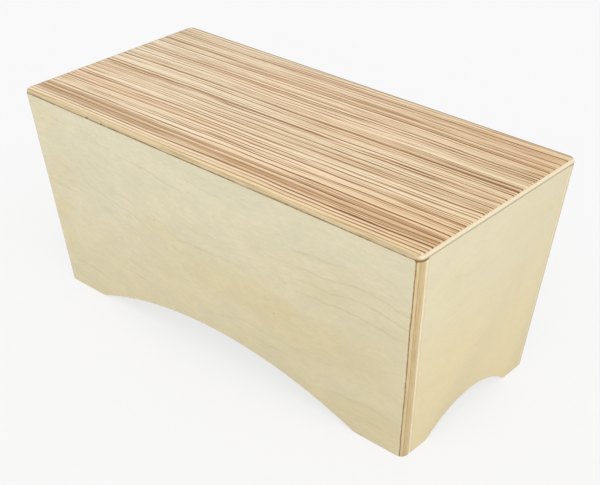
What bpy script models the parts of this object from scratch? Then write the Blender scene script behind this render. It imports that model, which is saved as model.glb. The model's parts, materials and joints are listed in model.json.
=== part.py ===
import bpy
import bmesh
from math import atan2, cos, pi, radians, sin, sqrt, tan
from mathutils import Matrix, Vector

# Outer sizes in metres: length and width where the plate meets the walls, height over all
LENGTH = 0.400
WIDTH = 0.190
HEIGHT = 0.182
# Lean of all four walls from upright, in degrees: the body narrows towards its feet
LEAN = 5.2

# Boards of the body
LONG_WALL = 0.009
END_WALL = 0.009
DIVIDER_WALL = 0.006
CORNER_RADIUS = 0.006
EASED_EDGE = 0.0005
EASED_STEPS = 2

# Playing plate: a plywood core with a zebrano face veneer
PLATE_CORE = 0.0027
FACE_VENEER = 0.0005
PLATE_ROUNDING = 0.0033

# Arches that leave four feet: half the span at floor level, rise, and radius of the shoulders
LONG_ARCH_HALF = 0.139
LONG_ARCH_RISE = 0.0287
LONG_SHOULDER = 0.012
END_ARCH_HALF = 0.050
END_ARCH_RISE = 0.0195
END_SHOULDER = 0.008

# Divider between the large and the small chamber, let into the long walls
DIVIDER_X = 0.036
DIVIDER_RAISE = 0.008
HOUSING_DEPTH = 0.0025

# Softwood inside: battens under the plate and three-sided blocks in the corners
BATTEN = 0.010
BLOCK_LEG = 0.018
BLOCK_RAISE = 0.010
ARRIS = 0.0012

# Glue line between neighbours, and the play of the divider in its housings
GLUE = 0.0003
HOUSING_PLAY = 0.0003

# Steps along the round stretches
CORNER_STEPS = 8
ROUNDING_STEPS = 5
ARCH_STEP = 0.006
SHOULDER_STEPS = 5

# Levels that follow from the sizes
RIM = HEIGHT - FACE_VENEER - GLUE - PLATE_CORE
WALL_TOP = RIM - GLUE
BATTEN_TOP = WALL_TOP
BLOCK_TOP = BATTEN_TOP - BATTEN - GLUE
DIVIDER_FOOT = LONG_ARCH_RISE + DIVIDER_RAISE
CUT_PAST = 0.005

# Each wall by the way it faces and its half size at the rim
WALLS = {
    "front": (Vector((0, -1, 0)), WIDTH / 2),
    "back": (Vector((0, 1, 0)), WIDTH / 2),
    "left": (Vector((-1, 0, 0)), LENGTH / 2),
    "right": (Vector((1, 0, 0)), LENGTH / 2),
}
UP = Vector((0, 0, 1))
TILT = radians(LEAN)

# Colours of the bare woods
BIRCH_FACE = (0.70, 0.61, 0.40)
BIRCH_END = (0.76, 0.67, 0.46)
PLY_CORE = (0.78, 0.68, 0.47)
ZEBRANO = (0.60, 0.42, 0.24)
PINE = (0.72, 0.53, 0.30)


def empty_scene():
    for item in list(bpy.data.objects):
        bpy.data.objects.remove(item, do_unlink=True)


def new_collection(name):
    collection = bpy.data.collections.new(name)
    bpy.context.scene.collection.children.link(collection)
    return collection


def wood(name, colour, roughness):
    material = bpy.data.materials.new(name)
    material.use_nodes = True
    shader = material.node_tree.nodes["Principled BSDF"]
    shader.inputs["Base Color"].default_value = (*colour, 1)
    shader.inputs["Roughness"].default_value = roughness
    shader.inputs["Metallic"].default_value = 0
    return material


# Planes: each is a point and the normal of the side that is sawn away
def outside(side, inset=0.0):
    facing, half = WALLS[side]
    normal = facing * cos(TILT) - UP * sin(TILT)
    return facing * half + UP * RIM - normal * inset, normal


def inside(side, inset):
    point, normal = outside(side, inset)
    return point, -normal


def above(level):
    return UP * level, UP


def below(level):
    return UP * level, -UP


def beyond_x(place, way):
    return Vector((place, 0, 0)), Vector((way, 0, 0))


# A blank larger than the whole body, which the saw cuts down to one piece
def blank():
    bm = bmesh.new()
    size = Matrix.Diagonal((LENGTH * 1.2, WIDTH * 1.4, HEIGHT * 1.4, 1))
    bmesh.ops.create_cube(bm, size=1, matrix=Matrix.Translation(UP * HEIGHT / 2) @ size)
    return bm


def saw(bm, point, normal):
    everything = bm.verts[:] + bm.edges[:] + bm.faces[:]
    cut = bmesh.ops.bisect_plane(bm, geom=everything, plane_co=point, plane_no=normal, clear_outer=True)
    rim = [item for item in cut["geom_cut"] if isinstance(item, bmesh.types.BMEdge)]
    bmesh.ops.contextual_create(bm, geom=rim)


def on_plane(vert, plane):
    point, normal = plane
    return abs((vert.co - point).dot(normal)) < 1e-5


def round_edges(bm, first, second, radius, steps):
    edges = [e for e in bm.edges if all(on_plane(v, first) and on_plane(v, second) for v in e.verts)]
    bmesh.ops.bevel(bm, geom=edges, offset=radius, offset_type="OFFSET", segments=steps,
                    profile=0.5, affect="EDGES")


def finish(bm, name, collection, material=None):
    bmesh.ops.recalc_face_normals(bm, faces=bm.faces)
    mesh = bpy.data.meshes.new(name)
    bm.to_mesh(mesh)
    bm.free()
    mesh.shade_smooth()
    mesh.set_sharp_from_angle(angle=radians(35))
    piece = bpy.data.objects.new(name, mesh)
    collection.objects.link(piece)
    if material is not None:
        mesh.materials.append(material)
    return piece


def sawn(name, planes, collection, material=None):
    bm = blank()
    for point, normal in planes:
        saw(bm, point, normal)
    return finish(bm, name, collection, material)


def as_cutter(piece):
    piece.hide_render = True
    piece.display_type = "WIRE"
    return piece


def cut_with(piece, cutter, name):
    modifier = piece.modifiers.new(name, "BOOLEAN")
    modifier.operation = "DIFFERENCE"
    modifier.solver = "EXACT"
    modifier.object = cutter


# Sharp edges of the inner pieces are eased with a plane or sandpaper
def ease(piece, width):
    modifier = piece.modifiers.new("eased_edges", "BEVEL")
    modifier.width = width
    modifier.segments = 1
    modifier.limit_method = "ANGLE"
    modifier.angle_limit = radians(50)
    return piece


# A wall's cuts are made real, then its feet and arch are eased; edges in a joint stay crisp.
# Each joint is one plane, or a pair of planes that meet along the edge
def ease_wall(wall, joints):
    bpy.context.view_layer.update()
    evaluated = wall.evaluated_get(bpy.context.evaluated_depsgraph_get())
    cut = bpy.data.meshes.new_from_object(evaluated)
    wall.modifiers.clear()
    bm = bmesh.new()
    bm.from_mesh(cut)
    bpy.data.meshes.remove(cut)
    bmesh.ops.remove_doubles(bm, verts=bm.verts, dist=0.00002)
    edges = []
    for edge in bm.edges:
        crisp = any(all(on_plane(v, plane) for v in edge.verts for plane in joint) for joint in joints)
        if edge.calc_face_angle(0) > radians(50) and not crisp:
            edges.append(edge)
    bmesh.ops.bevel(bm, geom=edges, offset=EASED_EDGE, offset_type="OFFSET", segments=EASED_STEPS,
                    profile=0.5, affect="EDGES")
    bm.to_mesh(wall.data)
    bm.free()


# The outline of an arch in its wall's plane: two shoulders that flow into one long arc
def arc(centre, radius, start, end, steps):
    turns = [start + (end - start) * i / steps for i in range(steps + 1)]
    return [(centre[0] + radius * cos(a), centre[1] + radius * sin(a)) for a in turns]


def arch_outline(half, rise, shoulder):
    radius = (half ** 2 + rise ** 2) / (2 * rise)
    drop = radius - rise
    foot = sqrt((radius + shoulder) ** 2 - (shoulder + drop) ** 2)
    lean = atan2(shoulder + drop, foot)
    steps = max(12, round(2 * half / ARCH_STEP))
    left = arc((-foot, shoulder), shoulder, -pi / 2, -lean, SHOULDER_STEPS)
    top = arc((0, -drop), radius, pi - lean, lean, steps)
    right = arc((foot, shoulder), shoulder, lean - pi, -pi / 2, SHOULDER_STEPS)
    return [(-foot, -CUT_PAST)] + left + top[1:-1] + right + [(foot, -CUT_PAST)]


def arch_cutter(side, half, rise, shoulder, thickness, collection):
    name = side + "_arch_cutter"
    curve = bpy.data.curves.new(name, "CURVE")
    curve.dimensions = "2D"
    curve.fill_mode = "BOTH"
    curve.extrude = thickness * 3
    outline = arch_outline(half, rise, shoulder)
    spline = curve.splines.new("POLY")
    spline.points.add(len(outline) - 1)
    for point, (along, height) in zip(spline.points, outline):
        point.co = (along, height, 0, 1)
    spline.use_cyclic_u = True
    drawn = bpy.data.objects.new(name + "_outline", curve)
    collection.objects.link(drawn)
    facing, half_size = WALLS[side]
    out = facing * cos(TILT) - UP * sin(TILT)
    rise_way = facing * sin(TILT) + UP * cos(TILT)
    across = rise_way.cross(out)
    foot_line = facing * (half_size - RIM * tan(TILT))
    turn = Matrix((across, rise_way, out)).transposed().to_4x4()
    drawn.matrix_world = Matrix.Translation(foot_line) @ turn
    bpy.context.view_layer.update()
    evaluated = drawn.evaluated_get(bpy.context.evaluated_depsgraph_get())
    mesh = bpy.data.meshes.new_from_object(evaluated)
    cutter = bpy.data.objects.new(name, mesh)
    cutter.matrix_world = drawn.matrix_world.copy()
    collection.objects.link(cutter)
    bpy.data.objects.remove(drawn, do_unlink=True)
    bm = bmesh.new()
    bm.from_mesh(mesh)
    bmesh.ops.remove_doubles(bm, verts=bm.verts, dist=0.00001)
    bmesh.ops.recalc_face_normals(bm, faces=bm.faces)
    bm.to_mesh(mesh)
    bm.free()
    return as_cutter(cutter)


# The two long walls run the whole length, so their ply edges show at the body's corners
def long_wall(side, parts, cutters, material):
    bm = blank()
    outer = outside(side)
    inner = inside(side, LONG_WALL)
    for plane in (outer, inner, outside("left"), outside("right"), above(WALL_TOP), below(0)):
        saw(bm, *plane)
    for end in ("left", "right"):
        round_edges(bm, outer, outside(end), CORNER_RADIUS, CORNER_STEPS)
    wall = finish(bm, side + "_wall", parts, material)
    arch = arch_cutter(side, LONG_ARCH_HALF, LONG_ARCH_RISE, LONG_SHOULDER, LONG_WALL, cutters)
    half = DIVIDER_WALL / 2 + HOUSING_PLAY
    housing = sawn(side + "_housing_cutter", [
        outside(side, LONG_WALL - HOUSING_DEPTH),
        inside(side, LONG_WALL + CUT_PAST),
        beyond_x(DIVIDER_X + half, 1),
        beyond_x(DIVIDER_X - half, -1),
        above(WALL_TOP + CUT_PAST),
        below(DIVIDER_FOOT - HOUSING_PLAY),
    ], cutters)
    cut_with(wall, arch, "arch")
    ease_wall(wall, [(above(WALL_TOP),), (inner, outside("left")), (inner, outside("right"))])
    cut_with(wall, as_cutter(housing), "housing")
    return wall


# The end walls stand between the long walls
def end_wall(side, parts, cutters, material):
    joints = [above(WALL_TOP), outside("front", LONG_WALL + GLUE), outside("back", LONG_WALL + GLUE)]
    planes = [outside(side), inside(side, END_WALL), below(0)] + joints
    wall = sawn(side + "_end_wall", planes, parts, material)
    arch = arch_cutter(side, END_ARCH_HALF, END_ARCH_RISE, END_SHOULDER, END_WALL, cutters)
    cut_with(wall, arch, "arch")
    ease_wall(wall, [(plane,) for plane in joints])
    return wall


def divider(parts, material):
    inset = LONG_WALL - HOUSING_DEPTH + HOUSING_PLAY
    board = sawn("chamber_divider", [
        outside("front", inset),
        outside("back", inset),
        beyond_x(DIVIDER_X + DIVIDER_WALL / 2, 1),
        beyond_x(DIVIDER_X - DIVIDER_WALL / 2, -1),
        above(WALL_TOP),
        below(DIVIDER_FOOT),
    ], parts, material)
    return ease(board, EASED_EDGE)


# A block fills the inner corner of two walls, up to a slanting face along that corner
def corner_block(end, side, parts, material):
    end_face = outside(end, END_WALL + GLUE)
    side_face = outside(side, LONG_WALL + GLUE)
    inward = -(end_face[1] + side_face[1]).normalized()
    corner = Vector((
        WALLS[end][0].x * (LENGTH / 2 - (END_WALL + GLUE) / cos(TILT)),
        WALLS[side][0].y * (WIDTH / 2 - (LONG_WALL + GLUE) / cos(TILT)),
        RIM,
    ))
    slant = corner + inward * BLOCK_LEG / sqrt(2)
    block = sawn(f"corner_block_{side}_{end}", [
        end_face,
        side_face,
        (slant, inward),
        above(BLOCK_TOP),
        below(BLOCK_RAISE),
    ], parts, material)
    return ease(block, ARRIS)


def long_batten(side, end, parts, material):
    way = WALLS[end][0].x
    stop = DIVIDER_X + way * (DIVIDER_WALL / 2 + GLUE)
    batten = sawn(f"batten_{side}_{end}", [
        outside(side, LONG_WALL + GLUE),
        inside(side, LONG_WALL + GLUE + BATTEN),
        outside(end, END_WALL + GLUE),
        beyond_x(stop, -way),
        above(BATTEN_TOP),
        below(BATTEN_TOP - BATTEN),
    ], parts, material)
    return ease(batten, ARRIS)


def end_batten(end, parts, material):
    inset = LONG_WALL + BATTEN + 2 * GLUE
    batten = sawn(f"batten_{end}_end", [
        outside(end, END_WALL + GLUE),
        inside(end, END_WALL + GLUE + BATTEN),
        outside("front", inset),
        outside("back", inset),
        above(BATTEN_TOP),
        below(BATTEN_TOP - BATTEN),
    ], parts, material)
    return ease(batten, ARRIS)


# The plate is rounded in plan at its corners and rounded over along its upper edge
def rounded_plate():
    bm = bmesh.new()
    thickness = HEIGHT - RIM
    size = Matrix.Diagonal((LENGTH, WIDTH, thickness, 1))
    centre = Matrix.Translation(UP * (RIM + thickness / 2))
    bmesh.ops.create_cube(bm, size=1, matrix=centre @ size)
    upright = [e for e in bm.edges if abs(e.verts[0].co.z - e.verts[1].co.z) > thickness / 2]
    bmesh.ops.bevel(bm, geom=upright, offset=CORNER_RADIUS, offset_type="OFFSET",
                    segments=CORNER_STEPS, profile=0.5, affect="EDGES")
    round_edges(bm, above(HEIGHT), above(HEIGHT), PLATE_ROUNDING, ROUNDING_STEPS)
    return bm


def plate_layer(name, planes, parts, material):
    bm = rounded_plate()
    for point, normal in planes:
        saw(bm, point, normal)
    return finish(bm, name, parts, material)


def main():
    empty_scene()
    parts = new_collection("bongo_cajon")
    cutters = new_collection("cutters")
    front_wood = wood("front_birch", BIRCH_FACE, 0.45)
    back_wood = wood("back_birch", BIRCH_FACE, 0.45)
    left_wood = wood("left_birch", BIRCH_END, 0.45)
    right_wood = wood("right_birch", BIRCH_END, 0.45)

    long_wall("front", parts, cutters, front_wood)
    long_wall("back", parts, cutters, back_wood)
    end_wall("left", parts, cutters, left_wood)
    end_wall("right", parts, cutters, right_wood)
    divider(parts, wood("divider_birch", PLY_CORE, 0.6))
    for end in ("left", "right"):
        end_batten(end, parts, wood(f"pine_{end}_batten", PINE, 0.65))
        for side in ("front", "back"):
            corner_block(end, side, parts, wood(f"pine_block_{side}_{end}", PINE, 0.65))
            long_batten(side, end, parts, wood(f"pine_batten_{side}_{end}", PINE, 0.65))
    veneer_foot = HEIGHT - FACE_VENEER
    plate_layer("playing_plate", [above(veneer_foot - GLUE)], parts, wood("plate_birch", PLY_CORE, 0.4))
    plate_layer("face_veneer", [below(veneer_foot)], parts, wood("zebrano", ZEBRANO, 0.35))


main()
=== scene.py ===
import json
from math import cos, pi, radians, sin

import bpy
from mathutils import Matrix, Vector

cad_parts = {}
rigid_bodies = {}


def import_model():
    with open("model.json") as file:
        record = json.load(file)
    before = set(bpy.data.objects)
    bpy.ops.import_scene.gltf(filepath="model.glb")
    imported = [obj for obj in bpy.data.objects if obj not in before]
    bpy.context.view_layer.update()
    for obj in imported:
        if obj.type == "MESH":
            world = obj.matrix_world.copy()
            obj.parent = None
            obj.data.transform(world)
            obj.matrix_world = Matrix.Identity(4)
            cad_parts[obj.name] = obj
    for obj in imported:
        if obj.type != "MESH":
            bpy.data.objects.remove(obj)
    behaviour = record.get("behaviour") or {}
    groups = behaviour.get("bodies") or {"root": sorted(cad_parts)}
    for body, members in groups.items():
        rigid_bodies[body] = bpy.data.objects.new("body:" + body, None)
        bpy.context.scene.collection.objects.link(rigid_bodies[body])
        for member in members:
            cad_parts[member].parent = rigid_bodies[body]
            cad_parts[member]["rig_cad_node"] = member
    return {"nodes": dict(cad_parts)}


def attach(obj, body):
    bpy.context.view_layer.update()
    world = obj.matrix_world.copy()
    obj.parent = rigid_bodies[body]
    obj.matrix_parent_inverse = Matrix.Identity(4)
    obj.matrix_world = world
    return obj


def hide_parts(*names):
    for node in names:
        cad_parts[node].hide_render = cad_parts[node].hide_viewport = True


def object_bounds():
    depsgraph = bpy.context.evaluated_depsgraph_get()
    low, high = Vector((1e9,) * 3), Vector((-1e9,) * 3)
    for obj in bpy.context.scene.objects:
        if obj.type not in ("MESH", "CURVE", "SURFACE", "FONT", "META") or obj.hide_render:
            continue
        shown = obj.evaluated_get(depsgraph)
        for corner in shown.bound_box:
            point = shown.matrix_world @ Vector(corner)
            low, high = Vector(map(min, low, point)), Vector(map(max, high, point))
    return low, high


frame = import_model()
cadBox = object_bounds()
print("frame loaded:", len(frame["nodes"]), "solids")


def rgb(red, green, blue):  # a colour as a screen shows it, 0 to 255, as the shader wants it
    values = [value / 255 for value in (red, green, blue)]
    return tuple(v / 12.92 if v <= 0.04045 else ((v + 0.055) / 1.055) ** 2.4 for v in values) + (1,)


class Wire:  # a shader socket that sums can be written on
    def __init__(self, paint, socket):
        self.paint = paint
        self.socket = socket

    def __add__(self, other):
        return self.paint.maths("ADD", self, other)

    def __radd__(self, other):
        return self.paint.maths("ADD", other, self)

    def __sub__(self, other):
        return self.paint.maths("SUBTRACT", self, other)

    def __rsub__(self, other):
        return self.paint.maths("SUBTRACT", other, self)

    def __mul__(self, other):
        return self.paint.maths("MULTIPLY", self, other)

    def __rmul__(self, other):
        return self.paint.maths("MULTIPLY", other, self)

    def __truediv__(self, other):
        return self.paint.maths("DIVIDE", self, other)

    def __pow__(self, other):
        return self.paint.maths("POWER", self, other)

    def __abs__(self):
        return self.paint.maths("ABSOLUTE", self, 0)


class Paint:  # one material's nodes
    def __init__(self, name):
        self.material = bpy.data.materials.new(name)
        self.material.use_nodes = True
        self.tree = self.material.node_tree
        self.shader = self.tree.nodes["Principled BSDF"]
        metres = self.node("ShaderNodeTexCoord", out="Object")
        scaled = self.node("ShaderNodeVectorMath", {"operation": "SCALE"}, {0: metres, "Scale": 1000})
        self.mm = [self.node("ShaderNodeSeparateXYZ", sockets={0: scaled}, out=axis) for axis in range(3)]

    def node(self, kind, settings=None, sockets=None, out=0):
        made = self.tree.nodes.new(kind)
        for key, value in (settings or {}).items():
            if key == "stops":
                self.setStops(made.color_ramp, value)
            elif key == "blend":
                made.color_ramp.interpolation = value
            else:
                setattr(made, key, value)
        for key, value in (sockets or {}).items():
            if isinstance(value, Wire):
                self.tree.links.new(value.socket, made.inputs[key])
            else:
                made.inputs[key].default_value = value
        return Wire(self, made.outputs[out])

    def setStops(self, ramp, stops):
        while len(ramp.elements) < len(stops):
            ramp.elements.new(1)
        for element, (position, colour) in zip(ramp.elements, stops):
            element.position = position
            element.color = colour

    def maths(self, operation, first, second):
        return self.node("ShaderNodeMath", {"operation": operation}, {0: first, 1: second})

    def vector(self, x=0.0, y=0.0, z=0.0):
        return self.node("ShaderNodeCombineXYZ", sockets={0: x, 1: y, 2: z})

    # The vector is millimetres times the pattern's fineness, and a plain number in it is a seed
    def noise(self, vector, scale=1.0, detail=2.0, roughness=0.5, distortion=0.0):
        return self.node("ShaderNodeTexNoise", sockets={
            "Vector": vector, "Scale": scale, "Detail": detail,
            "Roughness": roughness, "Distortion": distortion})

    def step(self, value, low, high, start=0.0, end=1.0):  # a soft step from start to end
        return self.node("ShaderNodeMapRange", {"interpolation_type": "SMOOTHSTEP"}, {
            "Value": value, "From Min": low, "From Max": high, "To Min": start, "To Max": end})

    # Distance to the nearest of many scattered lines, and a random number that this line keeps
    def threads(self, value, scatter):
        near = self.node("ShaderNodeTexVoronoi", {"voronoi_dimensions": "1D"}, {
            "W": value, "Scale": 1.0, "Randomness": scatter}, "Distance")
        return near, Wire(self, near.socket.node.outputs["Color"])

    def ramp(self, value, stops, blend="LINEAR"):
        return self.node("ShaderNodeValToRGB", {"stops": stops, "blend": blend}, {0: value})

    def mix(self, amount, first, second, blend="MIX"):
        return self.node("ShaderNodeMix", {"data_type": "RGBA", "blend_type": blend}, {
            0: amount, 6: first, 7: second}, 2)

    def finish(self, colour, roughness, height, bump, coat=0.0, coatRoughness=0.3):
        normal = self.node("ShaderNodeBump", sockets={
            "Strength": 1.0, "Distance": bump, "Height": height})
        for key, value in (("Base Color", colour), ("Roughness", roughness), ("Normal", normal)):
            self.tree.links.new(value.socket, self.shader.inputs[key])
        self.shader.inputs["Coat Weight"].default_value = coat
        self.shader.inputs["Coat Roughness"].default_value = coatRoughness
        self.shader.inputs["Specular IOR Level"].default_value = 0.4
        return self.material


# Sizes that the patterns share with the model, in millimetres and degrees
corner = Vector(cadBox[1]) * 1000
plateAndVeneer = 3.5
boards = {
    "halfLength": corner.x, "halfWidth": corner.y, "height": corner.z,
    "rimLevel": corner.z - plateAndVeneer, "wall": 9, "lean": 5.2,
}

zebrano = {
    "pale": rgb(251, 232, 201), "tan": rgb(231, 206, 168), "brown": rgb(179, 136, 88),
    "dark": rgb(129, 83, 28), "straw": rgb(242, 218, 166), "rose": rgb(246, 218, 190),
    # The last colour here is painted shade on the rounded rims, where they turn from the light
    "amber": rgb(246, 240, 228), "rimShade": rgb(140, 122, 86),
    "roughness": 0.36, "coat": 0.2, "bump": 0.00004,
    # How far the grain leans to the length, and how far it strays in millimetres
    "slant": 0.02, "bend": 8, "ripple": 2.5, "waver": 3,
    # Sets of lines: mean pitch, how unevenly they lie, half width, strength, seed
    "lines": [(15, 0.9, 1.1, 0.95, 6.3), (7.1, 0.4, 1.0, 0.76, 4.9), (3.95, 0.3, 1.0, 1.0, 1.7),
              (2.7, 0.7, 0.6, 0.5, 8.8)],
    # Darker bands and single dark lines: place across the face, half width, strength
    "bands": [(80.5, 1.4, 0.4), (75, 9, 0.1), (56, 1.6, 0.5), (37, 1.2, 0.35), (20, 7, 0.16),
              (15, 1.4, 0.4), (-8, 1.2, 0.25), (-20, 8, 0.1), (-34, 1.3, 0.4), (-47, 1.5, 0.4),
              (-69.3, 2.5, 0.48), (-75.2, 2.9, 0.5), (-72.5, 8, 0.16), (-80.5, 1.1, 0.4),
              (-83.5, 1.1, 0.35), (-86.8, 1.2, 0.4), (-90.3, 1.4, 0.55)],
    # Painted shade as thin dark lines along the far rim and the left rim, where the rounding turns from
    # the light: how far in from the edge
    "farShadeLine": 2.7, "leftShadeLine": 2.2,
}


def zebranoPaint():
    paint = Paint("zebranoLacquered")
    x, y, z = paint.mm
    bend = paint.noise(paint.vector(x * 0.004, y * 0.012, 3.1), detail=1) - 0.5
    ripple = paint.noise(paint.vector(x * 0.014, y * 0.03, 8.4), detail=2) - 0.5
    across = y - x * zebrano["slant"] + bend * zebrano["bend"] + ripple * zebrano["ripple"]
    # What the lines leave of the pale ground: each takes its share, which comes and goes along the length
    gaps = 1
    for pitch, scatter, half, strength, seed in zebrano["lines"]:
        waver = paint.noise(paint.vector(x * 0.012, across * 0.05, seed), detail=2) - 0.5
        near, own = paint.threads((across + waver * zebrano["waver"]) / pitch + seed * 10, scatter)
        vary = paint.noise(paint.vector(x * 0.011, own * 60, seed), detail=2, roughness=0.6)
        amount = paint.step(vary, 0.34, 0.62, 0.2, 1) * (own * 0.7 + 0.55) * strength
        gaps = gaps * (1 - paint.step(near * pitch, half * 0.2, half, 1, 0) * amount)
    loose = paint.step(paint.noise(paint.vector(x * 0.007, across * 0.4, 5.2), detail=3), 0.46, 0.68)
    broad = paint.step(paint.noise(paint.vector(x * 0.004, across * 0.085, 7.7), detail=1), 0.4, 0.62)
    gaps = gaps * (1 - loose * 0.14) * (1 - broad * 0.2)
    # The bands are strongest at the left end, the lines at the right end and away from the near rim
    leftward = paint.step(x, -190, 60, 1.3, 0.95)
    for place, half, strength in zebrano["bands"]:
        gaps = gaps * (1 - paint.step(abs(across - place), half * 0.3, half, strength, 0) * leftward)
    tone = (1 - gaps) * paint.step(x, -80, 190, 0.86, 1.01) * paint.step(y, -92, -84, 0.85, 1)
    ground = paint.ramp(tone, [
        (0.04, zebrano["pale"]), (0.36, zebrano["tan"]), (0.7, zebrano["brown"]), (1.0, zebrano["dark"])])
    blush = paint.noise(paint.vector(x * 0.004, across * 0.03, 9.6), detail=1)
    colour = paint.mix(paint.step(blush, 0.42, 0.66, 0, 0.3), ground, zebrano["rose"], "MULTIPLY")
    colour = paint.mix(paint.step(x, 60, 260, 0, 1.2), colour, zebrano["amber"], "MULTIPLY")
    # Paler and yellower where the rounding runs out through the veneer at the two long edges
    fromSide = boards["halfWidth"] - abs(y)
    colour = paint.mix(paint.step(fromSide, 3, 8, 0.35, 0), colour, zebrano["straw"])
    # and painted shade where the veneer ends on the rounding, with a thin dark line along the far rim and
    # along the left rim
    drop = boards["height"] - z
    roundedShade = paint.step(drop, 0.15, 0.45) * paint.step(fromSide, 2, 3, 1, 0)
    colour = paint.mix(roundedShade * 0.25, colour, zebrano["rimShade"])
    fromFarShade = abs(y - (boards["halfWidth"] - zebrano["farShadeLine"]))
    colour = paint.mix(paint.step(fromFarShade, 0.6, 2.0, 0.8, 0), colour, zebrano["rimShade"])
    fromLeftShade = abs(x + (boards["halfLength"] - zebrano["leftShadeLine"]))
    colour = paint.mix(paint.step(fromLeftShade, 0.3, 1.8, 0.5, 0), colour, zebrano["rimShade"])
    pores = paint.noise(paint.vector(x * 0.16, y * 4.5, 4.4), detail=2, roughness=0.6)
    colour = paint.mix(paint.step(pores, 0.56, 0.72, 0, 0.2), colour, zebrano["dark"])
    rough = zebrano["roughness"] + pores * 0.08 + tone * 0.05
    return paint.finish(colour, rough, pores * -0.6 - tone * 0.4, zebrano["bump"], zebrano["coat"])


birch = {
    "grain": rgb(200, 186, 144), "honey": rgb(230, 210, 152), "mottle": rgb(206, 202, 172),
    "knot": rgb(168, 140, 100), "fibre": rgb(222, 196, 160),
    # joint: dark glue lines, also the painted shade under the rim; the next colour is the top of the bare
    # plies under the plate, end grain with painted shade
    "joint": rgb(122, 82, 44), "endGrainShade": rgb(142, 82, 38), "edgeCream": rgb(228, 214, 178),
    "glueLine": rgb(172, 146, 104), "corePale": rgb(224, 203, 158),
    "coreDark": rgb(200, 172, 124), "core": rgb(212, 188, 141), "coreWarm": rgb(220, 198, 152),
    "innerCream": rgb(254, 239, 201),
    "roughness": 0.42, "coat": 0.15, "bump": 0.00003,
    # The figure's contour lines: their spacing up the face and how far they stray, in millimetres
    "ringPitch": 13, "sway": 30, "wave": 6, "jitter": 3,
}
# Depth under the outer face in millimetres at which each ply of a long wall ends
plies = [("edgeCream", 0.4), ("glueLine", 0.76), ("corePale", 1.8), ("coreDark", 2.4), ("core", 4.7),
         ("coreWarm", 6.7), ("innerCream", 9.2)]
# and the middle of the dark glue line between the first two
glueMiddle = 0.58
# Face veneers: the ground near the rim and near the feet, how strong the figure, wisps and clouds are,
# and how much greyer and yellower the face gets along its length
faces = {
    "long": {"high": rgb(238, 229, 199), "low": rgb(236, 222, 181),
             "figure": 0.34, "wisps": 0.24, "clouds": 0.25, "drift": (0.16, 0)},
    "end": {"high": rgb(236, 225, 192), "low": rgb(240, 221, 169),
            "figure": 0.1, "wisps": 0.12, "clouds": 0.22, "drift": (0, 0.22)},
    "inner": {"high": rgb(238, 228, 194), "low": rgb(234, 220, 180),
              "figure": 0.3, "wisps": 0.24, "clouds": 0.2, "drift": (0, 0)},
}
# On the front wall, in millimetres
# Yellower patches: place along, height, half length, half height, strength
patches = [(-177, 76, 14, 14, 0.35), (-170, 42, 10, 18, 0.35), (-50, 103, 24, 10, 0.25),
           (-49, 64, 16, 12, 0.25), (10, 84, 80, 24, 0.35), (120, 70, 80, 28, 0.4),
           (150, 20, 50, 18, 0.3)]
# Pin knots: place along, height
knots = [(-180.5, 160), (-57, 110), (-21, 74), (66, 76)]
# Where the figure shows most, with the same numbers as a patch
figured = [(125, 124, 120, 30, 0.24), (-90, 150, 110, 26, 0.14), (70, 48, 60, 14, 0.12)]


def behind(half, out, z, lean):  # depth under a leaning face that lies half out at the rim
    return (half - out) * cos(radians(lean)) - (boards["rimLevel"] - z) * sin(radians(lean))


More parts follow.
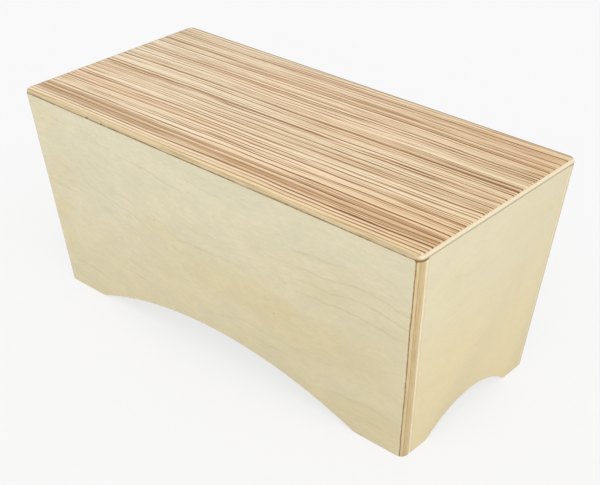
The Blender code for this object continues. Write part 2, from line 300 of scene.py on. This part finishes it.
def birchPaint(name, facing, seed, veneer, marked=False, lean=boards["lean"], edgeStrength=1.0):
    paint = Paint(name)
    look = faces[veneer]
    x, y, z = paint.mm
    along, out = (x, y * facing[1]) if facing[1] else (y, x * facing[0])
    half = boards["halfWidth"] if facing[1] else boards["halfLength"]
    depth = behind(half, out, z, lean)
    # The ground turns from cream to straw towards the feet, in soft clouds
    cloud = paint.noise(paint.vector(along * 0.012, z * 0.022, seed + 2), detail=3, roughness=0.55)
    fall = cloud * 0.6 + (120 - z) * 0.0045
    face = paint.mix(paint.step(fall, 0.0, 0.9), look["high"], look["low"])
    blotch = paint.noise(paint.vector(along * 0.014, z * 0.03, seed + 11), detail=2)
    face = paint.mix(paint.step(blotch, 0.5, 0.8, 0, look["clouds"]), face, birch["honey"])
    for place, height, length, rise, strength in patches if marked else []:
        spot = ((along - place) / length) ** 2 + ((z - height) / rise) ** 2 + (blotch - 0.5) * 2
        face = paint.mix(paint.step(spot, 0, 1, strength, 0), face, birch["honey"])
    # Figure: long wavy contour lines, as a peeled veneer has, strong here and faint there
    sway = paint.noise(paint.vector(along * 0.009, z * 0.016, seed), detail=1) - 0.5
    wave = paint.noise(paint.vector(along * 0.04, z * 0.05, seed + 3), detail=2) - 0.5
    jitter = paint.noise(paint.vector(along * 0.18, z * 0.25, seed + 6), detail=2) - 0.5
    level = z + sway * birch["sway"] + wave * birch["wave"] + jitter * birch["jitter"]
    presence = paint.noise(paint.vector(along * 0.016, z * 0.035, seed + 7), detail=2)
    if marked:  # the lines fall from the left end to the middle, and are fewer
        level = level + paint.step(along, -220, 60, -26, 0)
        presence = presence - 0.06
    for place, height, length, rise, strength in figured if marked else []:
        near = ((along - place) / length) ** 2 + ((z - height) / rise) ** 2
        presence = presence + paint.step(near, 0, 1, strength, 0)
    rings = paint.maths("COSINE", level * (2 * pi / birch["ringPitch"]), 0)
    streaks = paint.step(rings, 0.84, 1) * paint.step(presence, 0.48, 0.7)
    dashes = paint.noise(paint.vector(along * 0.1, level * 0.9, seed + 9), detail=2)
    streaks = streaks + paint.step(dashes, 0.54, 0.7) * paint.step(presence, 0.36, 0.6, 0.2, 0.5)
    face = paint.mix(streaks * look["figure"], face, birch["grain"])
    # Faint wisps along the figure all over, and a soft mottle
    wisps = paint.noise(paint.vector(along * 0.12, level * 0.36, seed + 13), detail=4, roughness=0.75)
    face = paint.mix(paint.step(wisps, 0.3, 0.7, 0, look["wisps"]), face, birch["grain"])
    mottle = paint.noise(paint.vector(along * 0.035, level * 0.07, seed + 15), detail=2)
    face = paint.mix(paint.step(mottle, 0.35, 0.65, 0, look["wisps"] * 0.8), face, birch["mottle"])
    shade, tint = look["drift"]
    face = paint.mix(paint.step(along, -100, 200, 0, shade), face, birch["grain"])
    face = paint.mix(paint.step(along, -60, 100, 0, tint), face, birch["honey"])
    for place, height in knots if marked else []:
        reach = ((along - place) ** 2 + ((z - height) * 1.6) ** 2) ** 0.5
        face = paint.mix(paint.step(reach, 0.2, 1.3, 0.6, 0), face, birch["knot"])
    # painted shade beside the joints to the long walls
    if veneer == "end":  # a little darker beside the joints to the long walls
        beside = behind(boards["halfWidth"], abs(along), z, lean) - boards["wall"]
        face = paint.mix(paint.step(beside, 0.4, 2.5, 0.22, 0), face, birch["grain"])
    pores = paint.noise(paint.vector(along * 0.16, z * 1.8, seed + 5), detail=2, roughness=0.65)
    face = paint.mix(paint.step(pores, 0.52, 0.75, 0, 0.14), face, birch["grain"])
    # Bare plies where the board's edge is cut
    uneven = paint.noise(paint.vector(along * 0.05, z * 0.05, seed + 1), detail=2) - 0.5
    total = plies[-1][1]
    edges = [0.0] + [end / total for _, end in plies[:-1]]
    stops = [(start, birch[ply]) for start, (ply, _) in zip(edges, plies)]
    core = paint.ramp((depth + uneven * 0.5) / total, stops, "CONSTANT")
    streak = paint.noise(paint.vector(depth * 1.4, along * 0.2, z * 0.09 + seed), detail=3, roughness=0.7)
    core = paint.mix(paint.step(streak, 0.45, 0.68, 0, 0.5), core, birch["fibre"], "MULTIPLY")
    broken = paint.noise(paint.vector(along * 0.6, z * 0.22, seed + 17), detail=3, roughness=0.7)
    glue = paint.step(abs(depth + uneven * 0.5 - glueMiddle), 0.1, 0.3, 1, 0)
    core = paint.mix(glue * paint.step(broken, 0.38, 0.62, 0.1, 0.56), core, birch["joint"])
    within = 1 - paint.step(depth - boards["wall"], -0.2, -0.05)
    edge = paint.step(depth, 0.1, 0.4) * within * edgeStrength
    colour = paint.mix(edge, face, core)
    # Under the rim a faint, broken joint line with painted shade; over the bare plies it is thickest and
    # reddest, end grain with painted shade under the plate
    below = boards["rimLevel"] - z
    seamShade = paint.step(below, 0.3, 1.0, 0.08, 0) * paint.step(broken, 0.4, 0.6, 0.4, 1.2)
    colour = paint.mix(seamShade, colour, birch["joint"])
    colour = paint.mix(paint.step(below, 0.7, 2.1, 0.9, 0) * edge, colour, birch["endGrainShade"])
    rough = birch["roughness"] + pores * 0.08 + edge * 0.12
    height = pores * -0.5 - streaks * 0.3 - streak * edge * 0.8
    return paint.finish(colour, rough, height, birch["bump"], birch["coat"])


plate = {"endCream": rgb(243, 229, 198), "sideTan": rgb(222, 200, 160), "sideDark": rgb(190, 166, 122),
         # The two dark colours after the ply are a dark joint with painted shade under the rim, along the
         # sides and at the ends
         "ply": rgb(222, 204, 166), "under": rgb(124, 92, 50), "underEnd": rgb(176, 162, 122),
         "nick": rgb(104, 88, 46), "roughness": 0.42, "coat": 0.15, "bump": 0.00004}
# Two small dark nicks in the front rim: places along it
nicks = (-121, -104.5)


def platePaint():
    paint = Paint("plateCore")
    x, y, z = paint.mm
    rise = z - boards["rimLevel"]
    atEnd = paint.step((abs(x) - boards["halfLength"]) - (abs(y) - boards["halfWidth"]), -2, 2)
    lengthwise = paint.noise(paint.vector(x * 0.03, y * 0.9, z * 1.6), detail=2, roughness=0.6)
    side = paint.mix(paint.step(lengthwise, 0.42, 0.66), plate["sideTan"], plate["sideDark"])
    streak = paint.noise(paint.vector(x * 0.35, y * 0.35, z * 3), detail=3, roughness=0.7)
    end = paint.mix(paint.step(streak, 0.5, 0.75, 0, 0.25), plate["endCream"], plate["ply"])
    end = paint.mix(paint.step(rise, 2.0, 2.9, 0, 0.6), end, plate["ply"])
    # Darker along the lower edge: glue and dust in the joint, with painted shade under the rim over it
    patchy = paint.noise(paint.vector(x * 0.09, y * 0.09, 5.5), detail=4, roughness=0.75)
    under = paint.step(rise, 0.2, 1.6, 1, 0)
    side = paint.mix(under * paint.step(patchy, 0.35, 0.62, 0.25, 0.85), side, plate["under"])
    atFront = paint.step(y + boards["halfWidth"], 1, 2, 1, 0)
    for place in nicks:
        nick = paint.step(abs(x - place), 0.4, 1.8, 0.7, 0) * paint.step(rise, 0.8, 2.2, 1, 0)
        side = paint.mix(nick * atFront, side, plate["nick"])
    # the ends get the same dark joint with painted shade
    end = paint.mix(under * 0.7, end, plate["underEnd"])
    colour = paint.mix(atEnd, side, end)
    rough = plate["roughness"] + streak * 0.1
    return paint.finish(colour, rough, streak * -1, plate["bump"], plate["coat"])


softwood = {
    "pale": rgb(232, 208, 160), "late": rgb(204, 158, 98), "roughness": 0.6, "bump": 0.00008,
    # Fineness of the rings and of the fibres, along the grain and across it, and how many rings show
    "rings": (0.008, 0.11), "fibres": (0.15, 3.0), "ringCount": 9,
}


def grained(axes, along, fineness):  # axes scaled by one fineness along the grain and another across it
    return [axis * fineness[0 if i == along else 1] for i, axis in enumerate(axes)]


def softwoodPaint(name, along, seed):  # along: the axis that the grain follows
    paint = Paint(name)
    grain = grained(paint.mm, along, softwood["rings"])
    field = paint.noise(paint.vector(*grain), scale=1 + seed * 0.03, detail=1, distortion=0.4)
    rings = paint.maths("PINGPONG", field * softwood["ringCount"] + seed, 0.5)
    late = paint.step(rings, 0.25, 0.5)
    strands = grained(paint.mm, along, softwood["fibres"])
    fibres = paint.noise(paint.vector(*strands), detail=3, roughness=0.7)
    colour = paint.mix(late * 0.75, softwood["pale"], softwood["late"])
    colour = paint.mix(paint.step(fibres, 0.45, 0.75, 0, 0.3), colour, softwood["late"], "MULTIPLY")
    rough = softwood["roughness"] + fibres * 0.15
    return paint.finish(colour, rough, fibres + late * 0.3, softwood["bump"])


paints = {
    "face_veneer": zebranoPaint(),
    "playing_plate": platePaint(),
    "front_wall": birchPaint("birchFront", (0, -1), 1.3, "long", marked=True),
    "back_wall": birchPaint("birchBack", (0, 1), 21.7, "long", edgeStrength=0.5),
    "right_end_wall": birchPaint("birchRight", (1, 0), 42.1, "end"),
    "left_end_wall": birchPaint("birchLeft", (-1, 0), 63.8, "end"),
    "chamber_divider": birchPaint("birchDivider", (1, 0), 84.5, "inner", lean=0),
}
for index, node in enumerate(sorted(set(frame["nodes"]) - set(paints))):
    upright = "block" in node
    crosswise = node in ("batten_left_end", "batten_right_end")
    paints[node] = softwoodPaint(f"softwood{index}", 2 if upright else 1 if crosswise else 0, index)
print("finishes mixed:", len(paints))

# Width of the eased edge of each piece, in metres
eased = {
    "face_veneer": 0.00006, "playing_plate": 0.0001,
    "walls": 0.00012, "divider": 0.0005, "softwood": 0.0008,
}
# Merge distance in metres, angles in degrees that count as flat, as an edge and as smooth
finer = {"merge": 0.00001, "flat": 0.3, "edge": 40, "smooth": 38, "segments": 3}


def easedWidth(node):
    if node in eased:
        return eased[node]
    return eased["walls" if "wall" in node else "divider" if "divider" in node else "softwood"]


def pick(piece, passes):  # leaves the piece in Edit Mode with the faces selected that pass
    bpy.ops.object.mode_set(mode="EDIT")
    bpy.ops.mesh.select_mode(type="FACE")
    bpy.ops.mesh.select_all(action="DESELECT")
    bpy.ops.object.mode_set(mode="OBJECT")
    for face in piece.data.polygons:
        face.select = passes(face)
    bpy.ops.object.mode_set(mode="EDIT")


# Joints that are sanded flush: how far a piece grows into its glue line, in metres
flush = 0.00028
# The plate's upper face in millimetres: half length and width now and when raised, and the raised level
plateTop = {"now": (198.809, 93.809), "raised": (198.4, 93.4), "level": 181.48}


def closeJoints(piece, node):
    if node == "playing_plate":  # its upper face comes up under the veneer, along the rounding
        pick(piece, lambda face: face.normal.z > 0.99)
        bpy.ops.transform.translate(value=(0, 0, flush))
        shrink = [after / before for before, after in zip(plateTop["now"], plateTop["raised"])]
        bpy.ops.transform.resize(value=(*shrink, 1), center_override=(0, 0, plateTop["level"] / 1000))
        bpy.ops.object.mode_set(mode="OBJECT")
    if "end_wall" in node:  # both its ends come up to the long walls
        for side in (-1, 1):
            pick(piece, lambda face: face.normal.y * side > 0.9)
            bpy.ops.transform.translate(value=(0, side * flush, 0))
            bpy.ops.object.mode_set(mode="OBJECT")


def refine(node):  # a finer piece in a solid's place, with its edges eased
    source = frame["nodes"][node]
    bpy.ops.object.select_all(action="DESELECT")
    source.select_set(True)
    bpy.context.view_layer.objects.active = source
    bpy.ops.object.duplicate(linked=False)
    piece = bpy.context.active_object
    piece.name = "fine_" + node
    piece.parent = None
    del piece["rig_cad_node"]
    bpy.ops.object.mode_set(mode="EDIT")
    bpy.ops.mesh.select_all(action="SELECT")
    bpy.ops.mesh.remove_doubles(threshold=finer["merge"])
    bpy.ops.mesh.dissolve_limited(angle_limit=radians(finer["flat"]))
    bpy.ops.object.mode_set(mode="OBJECT")
    bpy.ops.mesh.customdata_custom_splitnormals_clear()
    closeJoints(piece, node)
    bevel = piece.modifiers.new("eased", "BEVEL")
    bevel.width = easedWidth(node)
    bevel.segments = finer["segments"]
    bevel.limit_method = "ANGLE"
    bevel.angle_limit = radians(finer["edge"])
    bpy.ops.object.modifier_apply(modifier=bevel.name)
    bpy.ops.object.shade_smooth_by_angle(angle=radians(finer["smooth"]))
    piece.data.materials.clear()
    piece.data.materials.append(paints[node])
    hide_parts(node)
    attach(piece, "root")
    return piece


pieces = [refine(node) for node in sorted(frame["nodes"])]
print("pieces refined:", len(pieces))

# Lengths in metres, greys and strengths as shares, the sun's spread in degrees
studio = {
    "floorSize": 40, "floorDrop": 0.0002, "floorColour": 0.85, "floorLight": 0.96, "floorGlow": 0.8,
    "background": 0.94, "world": 0.74, "worldColour": (0.98, 0.99, 1.0, 1),
    "sunStrength": 1.15, "sunFrom": Vector((0.45, -0.38, 0.80)), "sunSpread": 50,
    "sunColour": (1.0, 0.985, 0.96),
}


def grey(value):
    return (value, value, value, 1)


bpy.ops.object.select_all(action="DESELECT")
bpy.ops.mesh.primitive_plane_add(size=studio["floorSize"], location=(0, 0, -studio["floorDrop"]))
floor = bpy.context.active_object
floor.name = "floor"
# Camera and reflections see the floor glow in part, so that it stays pale around its shadow
floorPaint = Paint("paleFloor")
nodes, links = floorPaint.tree.nodes, floorPaint.tree.links
glow = floorPaint.node("ShaderNodeEmission", sockets={
    "Color": grey(studio["floorLight"]), "Strength": 1.0})
matt = floorPaint.node("ShaderNodeBsdfDiffuse", sockets={"Color": grey(studio["floorColour"])})
rays = [floorPaint.node("ShaderNodeLightPath", out=name) for name in ("Is Camera Ray", "Is Glossy Ray")]
seen = floorPaint.maths("MAXIMUM", rays[0], rays[1])
mixed = floorPaint.node("ShaderNodeMixShader", sockets={0: seen * studio["floorGlow"], 1: matt, 2: glow})
links.new(mixed.socket, nodes["Material Output"].inputs["Surface"])
floor.data.materials.append(floorPaint.material)

scene = bpy.context.scene
world = scene.world or bpy.data.worlds.new("studioWorld")
scene.world = world
world.use_nodes = True
worldNodes, worldLinks = world.node_tree.nodes, world.node_tree.links
worldNodes.clear()
lightPath = worldNodes.new("ShaderNodeLightPath")
backdrop = worldNodes.new("ShaderNodeBackground")
backdrop.inputs["Color"].default_value = grey(studio["background"])
ambient = worldNodes.new("ShaderNodeBackground")
ambient.inputs["Color"].default_value = studio["worldColour"]
ambient.inputs["Strength"].default_value = studio["world"]
choice = worldNodes.new("ShaderNodeMixShader")
output = worldNodes.new("ShaderNodeOutputWorld")
worldLinks.new(lightPath.outputs["Is Camera Ray"], choice.inputs[0])
worldLinks.new(ambient.outputs[0], choice.inputs[1])
worldLinks.new(backdrop.outputs[0], choice.inputs[2])
worldLinks.new(choice.outputs[0], output.inputs["Surface"])

bpy.ops.object.light_add(type="SUN", location=studio["sunFrom"] * 2)
sun = bpy.context.active_object
sun.name = "softKey"
sun.rotation_euler = studio["sunFrom"].to_track_quat("Z", "Y").to_euler()
sun.data.energy = studio["sunStrength"]
sun.data.angle = radians(studio["sunSpread"])
sun.data.color = studio["sunColour"]

# Metres, degrees and millimetres: the lens and place of the photo's own camera
camera = {
    "place": (0.57818, -0.64010, 0.58084), "turn": (59.4618, 0.0475, 41.9161),
    "sensor": 36, "lens": 73.96, "shift": (0.02036, 0.00198),
}
bpy.ops.object.camera_add(location=camera["place"], rotation=[radians(angle) for angle in camera["turn"]])
eye = bpy.context.active_object
eye.name = "camera"
eye.data.sensor_width = camera["sensor"]
eye.data.lens = camera["lens"]
eye.data.shift_x, eye.data.shift_y = camera["shift"]
scene.camera = eye
scene.view_settings.view_transform = "Standard"
print("studio set")
